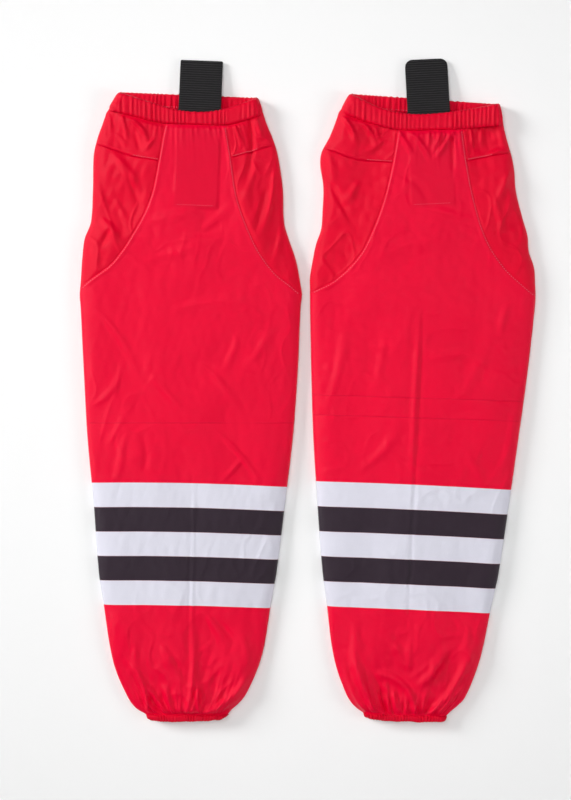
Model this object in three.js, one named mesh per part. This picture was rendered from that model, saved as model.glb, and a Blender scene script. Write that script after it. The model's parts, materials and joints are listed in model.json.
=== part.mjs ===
// A pair of ice hockey socks, laid flat side by side with the waistbands away from the viewer.
// Units are millimetres. X runs across the pair, Y from the cuffs to the waistbands and Z up out of the floor.
// The origin is on the floor, under the middle of the pair.
// Each sock is a flattened tube: every fabric piece is a thin wall measured inwards from one outer surface.
import * as THREE from "three";

// Overall sizes
const SOCK_LENGTH = 752; // cuff edge to the back of the mouth
const KNEE_WIDTH = 267; // laid flat, at the widest place
const SOCK_GAP = 9; // between the two socks at the knee

// Fabric and trims
const FABRIC = 0.8;
const GAP = 0.3; // between pieces that touch
const WAISTBAND_HEIGHT = 18;
const WAISTBAND_THICKNESS = 5; // gathered, with the elastic inside
const WAISTBAND_ELASTIC_THICKNESS = 1.2;
const MOUTH_SAG = 20; // how far the front edge of the mouth dips below the back edge
const CUFF_HEIGHT = 8;
const CUFF_ELASTIC_THICKNESS = 0.8;
const CUFF_ELASTIC_HEIGHT = 4;
const TUCK = 2; // how far the panels reach into the waistband and the cuff
const OVERLOCK = 1.5; // diameter of the overlocked seam edge inside the sock
const OVERLOCK_HANG = 0.7; // the overlocked edge hangs this far below its panels

// Heights of the flattened tube above the floor
const CUFF_LOFT = 13.5;
const CALF_LOFT = 16;
const KNEE_LOFT = 20;
const MOUTH_LOFT = 17;

// Strap: elastic webbing sewn inside the front panel, with a free tab that ends in hook tape
const STRAP_WIDTH = 51;
const STRAP_THICKNESS = 1.6;
const ANCHOR_LENGTH = 114;
const TAB_LENGTH = 64; // from the fold line to the tip
const TAB_DROOP = 7; // degrees that the free tab hangs below level
const HOOK_LENGTH = 36;
const HOOK_INSET = 3; // hook tape back from the tab's sides and tip
const HOOK_THICKNESS = 1.2;

// Heights along the sock that its seams and lofts are set from
const CALF_AT = 60;
const KNEE_AT = 0.53 * SOCK_LENGTH;
const GUSSET_FOOT_AT = 0.683 * SOCK_LENGTH;
const YOKE_AT = SOCK_LENGTH - 83;
const WAIST_AT = SOCK_LENGTH - WAISTBAND_HEIGHT;
const SAG_FROM = SOCK_LENGTH - 150;

const RED = 0xd80f35;
const SEAM_RED = 0xe04058;
const BLACK = 0x2b292b;
const GREY = 0x3a3a3d;
const WHITE = 0xe6e4e0;

// Outlines: share of the length, then the left and right edge as shares of half the knee width.
// Gusset seams: share of the length from the gusset's foot to the waistband, then the distance from the side
// seam along the fabric as a share of half the knee width.
// Yoke dip: how much lower the yoke seam is at the gusset seam than at the side.
const LEFT_SOCK = {
  name: "left",
  sides: ["outer", "inner"],
  lean: 0,
  outline: [
    [0.0, -0.385, 0.285], [0.011, -0.425, 0.325], [0.026, -0.51, 0.435], [0.053, -0.605, 0.545],
    [0.1, -0.7, 0.645], [0.238, -0.82, 0.783], [0.45, -0.921, 0.929], [0.608, -0.963, 0.994],
    [0.68, -0.987, 1.013], [0.74, -0.952, 0.93], [0.793, -0.88, 0.846], [0.872, -0.873, 0.82],
    [0.912, -0.846, 0.772], [0.951, -0.782, 0.693], [0.978, -0.71, 0.64], [1.0, -0.637, 0.607],
  ],
  seams: [
    [[0, 0.02], [0.14, 0.29], [0.345, 0.45], [0.52, 0.57], [0.7, 0.62], [1, 0.56]],
    [[0, 0.02], [0.1, 0.24], [0.25, 0.33], [0.5, 0.455], [0.72, 0.485], [1, 0.41]],
  ],
  yokeDip: 16,
  mouthTilt: -0.044,
  sagAt: 11,
  strap: { at: 12, lean: -2.2, corners: 1.5 },
};

const RIGHT_SOCK = {
  name: "right",
  sides: ["inner", "outer"],
  lean: -1.84,
  outline: [
    [0.0, -0.352, 0.352], [0.011, -0.405, 0.393], [0.026, -0.479, 0.464], [0.053, -0.566, 0.566],
    [0.1, -0.659, 0.655], [0.238, -0.787, 0.801], [0.45, -0.906, 0.94], [0.608, -0.963, 1.03],
    [0.68, -0.975, 1.052], [0.74, -0.955, 1.005], [0.793, -0.9, 0.944], [0.872, -0.915, 0.84],
    [0.912, -0.885, 0.775], [0.951, -0.8, 0.717], [0.978, -0.735, 0.69], [1.0, -0.682, 0.672],
  ],
  seams: [
    [[0, 0.02], [0.15, 0.37], [0.3, 0.48], [0.51, 0.63], [0.7, 0.64], [1, 0.55]],
    [[0, 0.02], [0.1, 0.24], [0.285, 0.385], [0.48, 0.42], [0.71, 0.44], [1, 0.41]],
  ],
  yokeDip: 14,
  mouthTilt: -0.037,
  sagAt: 0,
  strap: { at: 5, lean: 4.4, corners: 9 },
};

// A smooth line through rows of [place, value].
function smooth(rows) {
  const slope = (i) => {
    const a = rows[Math.max(i - 1, 0)];
    const b = rows[Math.min(i + 1, rows.length - 1)];
    return (b[1] - a[1]) / (b[0] - a[0]);
  };
  return (at) => {
    let i = 0;
    while (i < rows.length - 2 && at > rows[i + 1][0]) i += 1;
    const [a, b] = [rows[i], rows[i + 1]];
    const span = b[0] - a[0];
    const t = Math.min(Math.max((at - a[0]) / span, 0), 1);
    const [t2, t3] = [t * t, t * t * t];
    return (2 * t3 - 3 * t2 + 1) * a[1] + (t3 - 2 * t2 + t) * span * slope(i)
      + (3 * t2 - 2 * t3) * b[1] + (t3 - t2) * span * slope(i + 1);
  };
}

function smoothstep(from, to, at) {
  const t = Math.min(Math.max((at - from) / (to - from), 0), 1);
  return t * t * (3 - 2 * t);
}

const loft = smooth([
  [0, CUFF_LOFT], [CUFF_HEIGHT, CUFF_LOFT], [CALF_AT, CALF_LOFT], [KNEE_AT, KNEE_LOFT],
  [SAG_FROM, MOUTH_LOFT], [SOCK_LENGTH, MOUTH_LOFT],
]);

const FRONT_COLUMNS = 12;
const SIDE_COLUMNS = 6;
const SIDE_SHARE = 3 / FRONT_COLUMNS; // of the columns across a layer, on each rounded side

// The outer surface of one sock. "across" runs 0 to 1 from the left side seam to the right one over a layer.
class Tube {
  constructor(sock) {
    this.sock = sock;
    const edge = (k) => smooth(sock.outline.map((row) => [row[0] * SOCK_LENGTH, row[k] * KNEE_WIDTH / 2]));
    this.left = edge(1);
    this.right = edge(2);
  }

  layerLength(y) {
    const round = loft(y) / 2;
    return this.right(y) - this.left(y) - 2 * round + Math.PI * round;
  }

  // Distance along the layer, from its share across.
  along(y, across) {
    const corner = Math.PI * loft(y) / 4;
    const flat = this.layerLength(y) - 2 * corner;
    if (across < SIDE_SHARE) return corner * across / SIDE_SHARE;
    if (across > 1 - SIDE_SHARE) return corner * (across - 1) / SIDE_SHARE + flat + 2 * corner;
    return corner + flat * (across - SIDE_SHARE) / (1 - 2 * SIDE_SHARE);
  }

  // The share across of a distance along the layer.
  share(y, distance) {
    const corner = Math.PI * loft(y) / 4;
    const flat = this.layerLength(y) - 2 * corner;
    if (distance < corner) return SIDE_SHARE * distance / corner;
    if (distance > corner + flat) return 1 + SIDE_SHARE * (distance - flat - 2 * corner) / corner;
    return SIDE_SHARE + (1 - 2 * SIDE_SHARE) * (distance - corner) / flat;
  }

  // The share across of a place x on the top of the layer, or on its rounded side.
  shareAtX(y, x) {
    const round = loft(y) / 2;
    const fromLeft = x - this.left(y);
    const fromRight = this.right(y) - x;
    const arc = (d) => round * Math.acos(1 - Math.max(d, 0) / round);
    if (fromLeft < round) return this.share(y, arc(fromLeft));
    if (fromRight < round) return this.share(y, this.layerLength(y) - arc(fromRight));
    return this.share(y, Math.PI * round / 2 + fromLeft - round);
  }

  // How far the front layer is pulled down towards the cuff at x.
  sag(y, x) {
    const half = (this.right(SOCK_LENGTH) - this.left(SOCK_LENGTH)) / 2;
    const middle = (this.right(SOCK_LENGTH) + this.left(SOCK_LENGTH)) / 2;
    const turn = (this.sock.sagAt - middle) / half;
    const side = Math.min(Math.max((x - middle) / half, -1), 1);
    const even = side + turn * (side * side - 1); // moves the lowest point and keeps both corners
    return MOUTH_SAG * (1 - Math.abs(even) ** 2.4) * smoothstep(SAG_FROM, WAIST_AT, y);
  }

  // A point at a depth inside the outer surface. front is true on the upper layer.
  point(front, y, across, depth) {
    const round = loft(y) / 2;
    const distance = this.along(y, across);
    const corner = Math.PI * round / 2;
    const flatEnd = this.layerLength(y) - corner;
    const pastFlat = Math.max(distance - flatEnd, 0) - Math.max(corner - distance, 0);
    const turn = pastFlat / round; // from -90 to 90 degrees over the section
    const centre = this.left(y) + round + Math.min(Math.max(distance - corner, 0), flatEnd - corner);
    const x = centre + (round - depth) * Math.sin(turn);
    const rise = (round - depth) * Math.cos(turn);
    const z = round + (front ? rise : -rise);
    const tilt = this.sock.mouthTilt * x * smoothstep(SAG_FROM, WAIST_AT, y);
    const flatShare = Math.abs(rise) / (round - depth);
    const dip = front ? this.sag(y, x) * flatShare : 0;
    return new THREE.Vector3(x, y + tilt - dip, z);
  }
}

// How deep the outer face of a panel lies: it is tucked under the waistband and the cuff.
const WAIST_TUCK_DEPTH = FABRIC + 0.5;
const CUFF_THICKNESS = 2 * FABRIC + Math.max(FABRIC, CUFF_ELASTIC_THICKNESS) + 2 * GAP;
const CUFF_TUCK_DEPTH = FABRIC + GAP;
const PANEL_TOP = WAIST_AT + TUCK;
const PANEL_FOOT = CUFF_ELASTIC_HEIGHT + FABRIC + 3 * GAP;
function panelDepth(y) {
  return WAIST_TUCK_DEPTH * smoothstep(WAIST_AT - 12, WAIST_AT - 1, y)
    + CUFF_TUCK_DEPTH * (1 - smoothstep(CUFF_HEIGHT + 1, CUFF_HEIGHT + 10, y));
}

// Bends a box of columns and rows: place(u, v, w) gives each vertex, with w from the inner face to the outer one.
function bentSheet(columns, rows, place) {
  const box = new THREE.BoxGeometry(1, 1, 1, columns, rows, 1);
  const at = box.getAttribute("position");
  for (let i = 0; i < at.count; i += 1) {
    const p = place(at.getX(i) + 0.5, at.getY(i) + 0.5, at.getZ(i) + 0.5);
    at.setXYZ(i, p.x, p.y, p.z);
  }
  return box;
}

// Bends a ring: the profile holds [depth, y] points, and each turn of the ring goes over the front, then the back.
const RING_COLUMNS = 2 * FRONT_COLUMNS;
function bentRing(tube, profile) {
  const middle = 100; // radius of the round ring before it is bent
  const turned = profile.map(([depth, y]) => new THREE.Vector2(middle - depth, y));
  turned.push(turned[0].clone());
  const ring = new THREE.LatheGeometry(turned, RING_COLUMNS);
  const at = ring.getAttribute("position");
  for (let i = 0; i < at.count; i += 1) {
    const depth = middle - Math.hypot(at.getX(i), at.getZ(i));
    const angle = Math.atan2(at.getX(i), at.getZ(i)) / (2 * Math.PI);
    const column = Math.round(angle * RING_COLUMNS + RING_COLUMNS) % RING_COLUMNS;
    const half = RING_COLUMNS / 2;
    const front = column <= half;
    const across = front ? column / half : 2 - column / half;
    const p = tube.point(front, at.getY(i), across, depth);
    at.setXYZ(i, p.x, p.y, p.z);
  }
  return ring;
}

function mesh(name, geometry, color, roughness = 0.75) {
  const made = new THREE.Mesh(geometry, new THREE.MeshStandardMaterial({ color, roughness, metalness: 0 }));
  made.name = name;
  return made;
}

// Rows of the panels. The gussets and yokes share the front panel's upper rows, so their edges meet.
const LEG_ROWS = [
  PANEL_FOOT, CUFF_HEIGHT, 14, 22, 34, 50, 75,
  ...[0.16, 0.26, 0.37, 0.48, 0.575, 0.64].map((share) => share * SOCK_LENGTH),
];
const GUSSET_SHARES = [0, 0.015, 0.035, 0.06, 0.09, 0.13, 0.19, 0.29, 0.39, 0.5, 0.64, 0.82, 1];
const GUSSET_ROWS = GUSSET_SHARES.map((share) => GUSSET_FOOT_AT + share * (YOKE_AT - GUSSET_FOOT_AT));
const YOKE_ROWS = [1, 2, 3].map((k) => YOKE_AT + (PANEL_TOP - YOKE_AT) * k / 3);
const FRONT_ROWS = [...LEG_ROWS, GUSSET_FOOT_AT - 3, ...GUSSET_ROWS, ...YOKE_ROWS];
const BACK_ROWS = [...LEG_ROWS, ...GUSSET_ROWS.filter((y, k) => k === 0 || k > 4), ...YOKE_ROWS];

// The distance of a gusset seam from its side seam, along the fabric.
function seamDistance(tube, side, y) {
  const span = PANEL_TOP - GUSSET_FOOT_AT;
  const rows = tube.sock.seams[side].map(([at, far]) => [GUSSET_FOOT_AT + at * span, far * KNEE_WIDTH / 2]);
  return smooth(rows)(y);
}

// The share across of a gusset seam, moved towards the middle of the sock by a gap square to the seam.
function seamShare(tube, side, y, gap) {
  const slope = seamDistance(tube, side, y + 0.5) - seamDistance(tube, side, y - 0.5);
  const distance = seamDistance(tube, side, y) + gap * Math.hypot(1, slope);
  return side === 0 ? tube.share(y, distance) : 1 - tube.share(y, distance);
}

function frontPanel(tube) {
  const rows = FRONT_ROWS.length - 1;
  return bentSheet(FRONT_COLUMNS, rows, (u, v, w) => {
    const y = FRONT_ROWS[Math.round(v * rows)];
    const edge = tube.share(y, GAP / 2);
    const gusseted = y >= GUSSET_FOOT_AT;
    const from = gusseted ? seamShare(tube, 0, y, GAP / 2) : edge;
    const to = gusseted ? seamShare(tube, 1, y, GAP / 2) : 1 - edge;
    return tube.point(true, y, from + (to - from) * u, panelDepth(y) + FABRIC * (1 - w));
  });
}

function backPanel(tube) {
  const rows = BACK_ROWS.length - 1;
  return bentSheet(FRONT_COLUMNS, rows, (u, v, w) => {
    const y = BACK_ROWS[Math.round(v * rows)];
    const edge = tube.share(y, GAP / 2);
    return tube.point(false, y, 1 - edge - (1 - 2 * edge) * u, panelDepth(y) + FABRIC * (1 - w));
  });
}

// A piece between the side seam and the gusset seam. Its rows are heights at the gusset seam, and its first and
// last rows reach the side seam at the heights given.
function sidePiece(tube, side, rows, sideFoot, sideTop) {
  const last = rows.length - 1;
  return bentSheet(SIDE_COLUMNS, last, (u, v, w) => {
    const toSeam = side === 0 ? u : 1 - u;
    const atSeam = rows[Math.round(v * last)];
    const part = (atSeam - rows[0]) / (rows[last] - rows[0]);
    const atSide = sideFoot + (sideTop - sideFoot) * part;
    const y = atSide + (atSeam - atSide) * toSeam;
    const edge = tube.share(y, GAP / 2);
    const start = side === 0 ? edge : 1 - edge;
    const end = seamShare(tube, side, atSeam, -GAP / 2);
    return tube.point(true, y, start + (end - start) * toSeam, panelDepth(y) + FABRIC * (1 - w));
  });
}

function gusset(tube, side) {
  const rows = [...GUSSET_ROWS];
  rows[0] += GAP;
  rows[rows.length - 1] -= GAP / 2;
  return sidePiece(tube, side, rows, rows[0], YOKE_AT + tube.sock.yokeDip - GAP / 2);
}

function yoke(tube, side) {
  return sidePiece(tube, side, [YOKE_AT + GAP / 2, ...YOKE_ROWS], YOKE_AT + tube.sock.yokeDip + GAP / 2, PANEL_TOP);
}

// The self-fabric tunnel at the mouth: it is folded over at the top and open below, where the panels enter.
function waistbandCasing(tube) {
  const deep = WAISTBAND_THICKNESS;
  const round = deep / 2;
  const fold = (radius, from, to) => [0, 1, 2, 3, 4].map((k) => {
    const angle = Math.PI * (from + (to - from) * k / 4);
    return [round - radius * Math.cos(angle), SOCK_LENGTH - round + radius * Math.sin(angle)];
  });
  return bentRing(tube, [
    [0, WAIST_AT], ...fold(round, 0, 1), [deep, WAIST_AT],
    [deep - FABRIC, WAIST_AT], ...fold(round - FABRIC, 1, 0), [FABRIC, WAIST_AT],
  ]);
}

function rectangleRing(tube, depth, thickness, foot, top) {
  return bentRing(tube, [[depth, foot], [depth, top], [depth + thickness, top], [depth + thickness, foot]]);
}

function waistbandElastic(tube) {
  const thick = WAISTBAND_ELASTIC_THICKNESS;
  const top = SOCK_LENGTH - FABRIC - 3 * GAP;
  return rectangleRing(tube, (WAISTBAND_THICKNESS - thick) / 2, thick, PANEL_TOP + 2 * GAP, top);
}

// The hem at the ankle: a narrow tunnel that opens upwards, where the panels enter.
function cuffHem(tube) {
  const deep = CUFF_THICKNESS;
  return bentRing(tube, [
    [0, 1], [0, PANEL_FOOT], [0, CUFF_HEIGHT], [FABRIC, CUFF_HEIGHT], [FABRIC, PANEL_FOOT], [FABRIC, FABRIC],
    [deep - FABRIC, FABRIC], [deep - FABRIC, PANEL_FOOT], [deep - FABRIC, CUFF_HEIGHT],
    [deep, CUFF_HEIGHT], [deep, PANEL_FOOT], [deep, 1], [deep - 1, 0], [1, 0],
  ]);
}

function cuffElastic(tube) {
  const foot = FABRIC + GAP;
  const depth = (CUFF_THICKNESS - CUFF_ELASTIC_THICKNESS) / 2;
  return rectangleRing(tube, depth, CUFF_ELASTIC_THICKNESS, foot, foot + CUFF_ELASTIC_HEIGHT);
}

// An overlocked edge: a fine cord that runs just under the panels, along a line of points.
function overlock(points, steps) {
  const round = new THREE.EllipseCurve(0, 0, OVERLOCK / 2, OVERLOCK / 2).getPoints(8).slice(0, 8);
  const path = new THREE.CatmullRomCurve3(points);
  return new THREE.ExtrudeGeometry(new THREE.Shape(round), { steps, bevelEnabled: false, extrudePath: path });
}

const OVERLOCK_DEPTH = FABRIC + OVERLOCK_HANG + OVERLOCK / 2;
const OVERLOCK_TOP = WAIST_AT - 14;
function gussetSeam(tube, side) {
  const steps = 14;
  const foot = GUSSET_FOOT_AT + 8;
  const points = Array.from({ length: steps + 1 }, (_, k) => {
    const y = foot + (OVERLOCK_TOP - foot) * k / steps;
    return tube.point(true, y, seamShare(tube, side, y, 0), OVERLOCK_DEPTH + panelDepth(y));
  });
  return overlock(points, steps);
}

function yokeSeam(tube, side) {
  const steps = 6;
  const reach = [0.25, 0.9]; // clear of the side seam and the gusset seam
  const points = Array.from({ length: steps + 1 }, (_, k) => {
    const part = reach[0] + (reach[1] - reach[0]) * k / steps;
    const y = YOKE_AT + tube.sock.yokeDip * (1 - part);
    const end = seamShare(tube, side, YOKE_AT, 0);
    const across = side === 0 ? end * part : 1 + (end - 1) * part;
    return tube.point(true, y, across, OVERLOCK_DEPTH);
  });
  return overlock(points, steps);
}

function sideSeam(tube, side) {
  const rows = BACK_ROWS.filter((y) => y > CUFF_HEIGHT + 10 && y < OVERLOCK_TOP);
  const points = rows.map((y) => tube.point(true, y, side, OVERLOCK_DEPTH + GAP + panelDepth(y)));
  return overlock(points, 2 * points.length);
}

// The strap's fold line: level with the waistband's middle, just inside the highest place that the strap crosses.
const FOLD_RADIUS = WAISTBAND_THICKNESS / 2 + GAP; // from the fold line to the strap's near face
function foldLine(tube) {
  const { at, lean } = tube.sock.strap;
  const turn = THREE.MathUtils.degToRad(lean);
  const samples = Array.from({ length: 21 }, (_, k) => at + STRAP_WIDTH * (k / 20 - 0.5));
  const heights = samples.map((x) => {
    const y = SOCK_LENGTH;
    const edge = tube.point(true, y, tube.shareAtX(y, x), 0);
    return edge.y - (x - at) * Math.tan(turn);
  });
  const y = Math.max(...heights) - WAISTBAND_THICKNESS / 2 + GAP;
  return { x: at, y, z: MOUTH_LOFT - WAISTBAND_THICKNESS / 2, turn };
}

const STRAP_FAR_FACE = FOLD_RADIUS + STRAP_THICKNESS;
const DROOP = THREE.MathUtils.degToRad(TAB_DROOP);

// The sewn end of the strap: level under the waistband, then close under the front panel.
function strapAnchor(tube, fold) {
  const end = -(STRAP_FAR_FACE * Math.sin(DROOP) + GAP);
  return bentSheet(4, 12, (u, v, w) => {
    const y = end - (ANCHOR_LENGTH + end) * (1 - v);
    const x = STRAP_WIDTH * (u - 0.5);
    const socky = fold.y + y * Math.cos(fold.turn) + MOUTH_SAG;
    const underBand = -FOLD_RADIUS;
    const underPanel = loft(socky) - FABRIC - GAP - fold.z;
    const rise = 1 - smoothstep(WAIST_AT - 42, WAIST_AT - 16, socky);
    const z = underBand + (underPanel - underBand - 0.5) * rise - STRAP_THICKNESS * (1 - w);
    return new THREE.Vector3(x, y, z);
  });
}

function roundedTab(width, length, corner) {
  const half = width / 2;
  const shape = new THREE.Shape();
  shape.moveTo(-half, 0);
  shape.lineTo(half, 0);
  shape.lineTo(half, length - corner);
  shape.absarc(half - corner, length - corner, corner, 0, Math.PI / 2);
  shape.absarc(corner - half, length - corner, corner, Math.PI / 2, Math.PI);
  return shape;
}

function strapTab(corner) {
  const shape = roundedTab(STRAP_WIDTH, TAB_LENGTH, corner);
  return new THREE.ExtrudeGeometry(shape, { depth: STRAP_THICKNESS, bevelEnabled: false, curveSegments: 4 });
}

function hookPatch(corner) {
  const inner = Math.max(corner - HOOK_INSET, 1);
  const shape = roundedTab(STRAP_WIDTH - 2 * HOOK_INSET, HOOK_LENGTH, inner);
  return new THREE.ExtrudeGeometry(shape, { depth: HOOK_THICKNESS, bevelEnabled: false, curveSegments: 4 });
}

// One sock, standing in its own group: X across it, Y from the cuff's middle to the mouth.
function makeSock(sock) {
  const tube = new Tube(sock);
  const fold = foldLine(tube);
  const group = new THREE.Group();
  const add = (name, geometry, color, roughness) => {
    const made = mesh(`${sock.name}_${name}`, geometry, color, roughness);
    group.add(made);
    return made;
  };
  add("front_panel", frontPanel(tube), RED);
  add("back_panel", backPanel(tube), RED);
  sock.sides.forEach((label, side) => {
    add(`${label}_gusset`, gusset(tube, side), RED);
    add(`${label}_yoke`, yoke(tube, side), RED);
    add(`${label}_gusset_seam`, gussetSeam(tube, side), SEAM_RED, 0.9);
    add(`${label}_yoke_seam`, yokeSeam(tube, side), SEAM_RED, 0.9);
    add(`${label}_side_seam`, sideSeam(tube, side), SEAM_RED, 0.9);
  });
  add("waistband_casing", waistbandCasing(tube), RED);
  add("waistband_elastic", waistbandElastic(tube), WHITE, 0.85);
  add("cuff_hem", cuffHem(tube), RED);
  add("cuff_elastic", cuffElastic(tube), WHITE, 0.85);

  const strap = new THREE.Group();
  strap.position.set(fold.x, fold.y, fold.z);
  strap.rotation.z = fold.turn;
  group.add(strap);
  strap.add(mesh(`${sock.name}_strap_anchor`, strapAnchor(tube, fold), BLACK, 0.85));
  const free = new THREE.Group();
  free.rotation.x = -DROOP;
  strap.add(free);
  const tab = mesh(`${sock.name}_strap_tab`, strapTab(sock.strap.corners), BLACK, 0.85);
  tab.position.set(0, 0, -STRAP_FAR_FACE);
  free.add(tab);
  const hook = mesh(`${sock.name}_hook_patch`, hookPatch(sock.strap.corners), GREY, 0.6);
  hook.position.set(0, TAB_LENGTH - HOOK_INSET - HOOK_LENGTH, -STRAP_FAR_FACE - GAP - HOOK_THICKNESS);
  free.add(hook);
  group.rotation.z = THREE.MathUtils.degToRad(sock.lean);
  return { group, fold };
}

const left = makeSock(LEFT_SOCK);
const right = makeSock(RIGHT_SOCK);
const pair = new THREE.Group();
pair.add(left.group, right.group);

// The socks are set down with the same gap at the knee, and the whole pair is centred on the origin.
function boxOf(group) {
  group.updateMatrixWorld(true);
  return new THREE.Box3().setFromObject(group, true);
}
left.group.position.x = -SOCK_GAP / 2 - boxOf(left.group).max.x;
right.group.position.x = SOCK_GAP / 2 - boxOf(right.group).min.x;
const whole = boxOf(pair);
pair.position.set(-(whole.min.x + whole.max.x) / 2, -(whole.min.y + whole.max.y) / 2, -whole.min.z);

export default pair;
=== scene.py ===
"""A pair of ice hockey socks, laid flat side by side.

Every sock is cut and sewn here in its own millimetres: x across it, y from the cuff edge up to the mouth and
z up off the floor. place() then sets it down in the frame, where its strap's fold line is.
"""
import json
import math

import bmesh
import bpy
import numpy as np
from mathutils import Matrix, Vector


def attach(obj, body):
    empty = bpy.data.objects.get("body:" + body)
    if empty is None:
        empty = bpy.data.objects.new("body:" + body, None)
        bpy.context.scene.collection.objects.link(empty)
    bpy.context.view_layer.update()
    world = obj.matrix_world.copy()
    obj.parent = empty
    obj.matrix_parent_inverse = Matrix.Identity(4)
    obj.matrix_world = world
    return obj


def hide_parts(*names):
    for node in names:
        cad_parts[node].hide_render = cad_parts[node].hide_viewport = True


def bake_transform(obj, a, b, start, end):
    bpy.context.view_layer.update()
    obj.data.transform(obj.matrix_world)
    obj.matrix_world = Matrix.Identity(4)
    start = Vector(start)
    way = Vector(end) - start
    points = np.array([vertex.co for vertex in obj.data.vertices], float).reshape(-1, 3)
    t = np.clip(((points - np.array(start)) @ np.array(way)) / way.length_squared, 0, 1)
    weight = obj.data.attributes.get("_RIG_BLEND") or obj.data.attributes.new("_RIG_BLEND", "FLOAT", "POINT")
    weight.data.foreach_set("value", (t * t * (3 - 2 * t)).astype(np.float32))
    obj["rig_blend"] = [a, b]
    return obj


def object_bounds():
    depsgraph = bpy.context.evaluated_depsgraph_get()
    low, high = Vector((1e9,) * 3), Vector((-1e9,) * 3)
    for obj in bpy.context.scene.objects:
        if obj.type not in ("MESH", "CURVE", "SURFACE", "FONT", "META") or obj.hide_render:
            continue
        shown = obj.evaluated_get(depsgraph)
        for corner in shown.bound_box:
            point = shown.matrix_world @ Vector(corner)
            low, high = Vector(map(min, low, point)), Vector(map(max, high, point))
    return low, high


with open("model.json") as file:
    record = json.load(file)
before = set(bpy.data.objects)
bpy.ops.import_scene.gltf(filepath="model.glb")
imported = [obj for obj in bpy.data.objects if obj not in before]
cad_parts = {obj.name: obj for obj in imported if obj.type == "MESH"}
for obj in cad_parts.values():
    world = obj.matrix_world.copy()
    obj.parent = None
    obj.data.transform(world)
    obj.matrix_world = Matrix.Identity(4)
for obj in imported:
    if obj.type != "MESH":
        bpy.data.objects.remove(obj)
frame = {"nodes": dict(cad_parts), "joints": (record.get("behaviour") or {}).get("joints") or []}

CAD_BOX = [list(corner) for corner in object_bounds()]
MM = 0.001

# Cloth and trims, in millimetres
FABRIC = 0.8
BAND_HEIGHT = 18
BAND_LOFT = 17  # the flattened ring of the waistband, floor to top
BAND_WALL = 5
BAND_RUFFLE = 5.6  # from crest to crest
HEM_TOP = 8.6
HEM_LOFT = 13
HEM_WALL = 3
HEM_RUFFLE = 3.5
HEM_FABRIC = 0.6  # drawn thinner by the tight gathers
TUCK = 3  # how far the panels reach under the waistband and into the hem
TOP_IN_BAND = 14.4  # the upper layer's highest place where the waistband takes it in
TOP_IN_HEM = 11.6
PANEL_INSET = 1.3  # how much narrower a panel is inside the hem
BAND_INSET = 1.5  # and inside the waistband
STRAP_WIDTH = 51
STRAP_THICKNESS = 1.6
STRAP_DROP = 3.6  # from the fold line down to the middle of the webbing
ANCHOR_LENGTH = 114
TAB_LENGTH = 64
TAB_DROOP = 7  # degrees
RIB_PITCH = 2.8
STITCH_PITCH = 3.1
TOPSTITCH_INSET = 1.6  # from the seam it runs beside
STITCH_LIFT = 0.2  # how proud a stitch's middle lies
OVERLOCK = 1.5  # diameter of an overlocked edge

# Each outline row is a height, then the left and right edge. Seam rows are a height and a place across.
LEFT = {
    "name": "left",
    "sides": ("outer", "inner"),
    "lean": 0.0,
    "fold": (12, 730.8),
    "strap_turn": -2.2,
    "tab_corner": 1.5,
    "outline": [
        (2, -50.5, 43.5), (8.6, -53, 46.5), (14, -62, 50), (20, -68.5, 57), (30, -75, 66), (60, -88.5, 80.5),
        (90, -96, 89.5), (140, -103.5, 97.5), (180, -109.5, 104.5), (260, -115.5, 114.5),
        (340, -123, 124), (420, -127.5, 130), (500, -131.5, 133.5), (512, -132.5, 135), (530, -131, 132.5),
        (555, -129.5, 127.5), (580, -126.5, 119), (600, -119, 113.5), (640, -116.5, 112), (680, -115.5, 106),
        (700, -111, 100), (718, -104.5, 92.5), (736, -98, 87),
    ],
    "hem_foot": [(-52, 6), (-46, 2), (-20, 0.2), (14, 1.2), (34, 2.6), (44, 6)],
    "band_foot": [(-98, 733), (-66, 725.5), (-36, 718), (5, 716), (45, 715.5), (68, 721), (88, 728.5)],
    "mouth": [(-86, 756), (-53, 745.5), (-17, 734.5), (13, 731.5), (37, 734), (58, 740), (82, 749)],
    "band_corners": [(-98, 88), (-86, 82)],
    "back_top": [(-86, 757), (82, 750)],
    "seams": [
        [
            (520, -132), (530, -120), (551, -92), (596, -61.5), (630, -46), (671, -37), (707, -30.5),
            (724, -26),
        ],
        [(513, 134), (524, 121), (540, 101.5), (572, 79.5), (626, 58.5), (681, 49.5), (724, 42.5)],
    ],
    "yokes": [
        [(-118, 695), (-107, 692), (-70, 679), (-38, 673)],
        [(51, 677), (76, 684), (101, 692), (112, 695)],
    ],
    "stripe_top": 286.8,
    "stripe_pitch": 29.3,
    "stripe_slope": -0.022,
    "stripe_arch": 0.00017,
    "fold_lines": [359],
    "seed": 11,
}

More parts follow.
